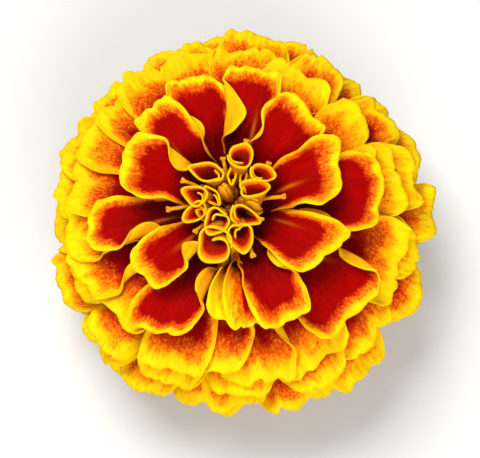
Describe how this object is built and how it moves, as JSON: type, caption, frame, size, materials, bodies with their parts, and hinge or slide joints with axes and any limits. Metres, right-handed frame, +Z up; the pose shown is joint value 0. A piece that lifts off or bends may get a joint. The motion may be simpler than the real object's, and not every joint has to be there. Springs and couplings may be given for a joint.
{
  "type": "marigold flower head",
  "caption": "Double marigold bloom as picked: a domed head of ruffled red petals edged in yellow round a tuft of rolled florets, in a green cup with a stub of stalk.",
  "frame": {"origin": "centre of the flat cut end of the stalk, on the surface that the head rests on", "axes": "+Z up through the middle of the bloom; -Y towards the viewer in the front view, +X to the viewer's right"},
  "size_m": [0.0596, 0.0584, 0.0333],
  "materials": {
    "petal_red_and_yellow": "velvety petal, deep red with a bright yellow edge",
    "floret_yellow": "matt floret, golden yellow outside and red inside",
    "cup_green": "smooth green cup, slightly waxy"
  },
  "bodies": {
    "root": {"ray_petals": "petal_red_and_yellow", "young_florets": "floret_yellow", "calyx": "cup_green"}
  },
  "joints": []
}
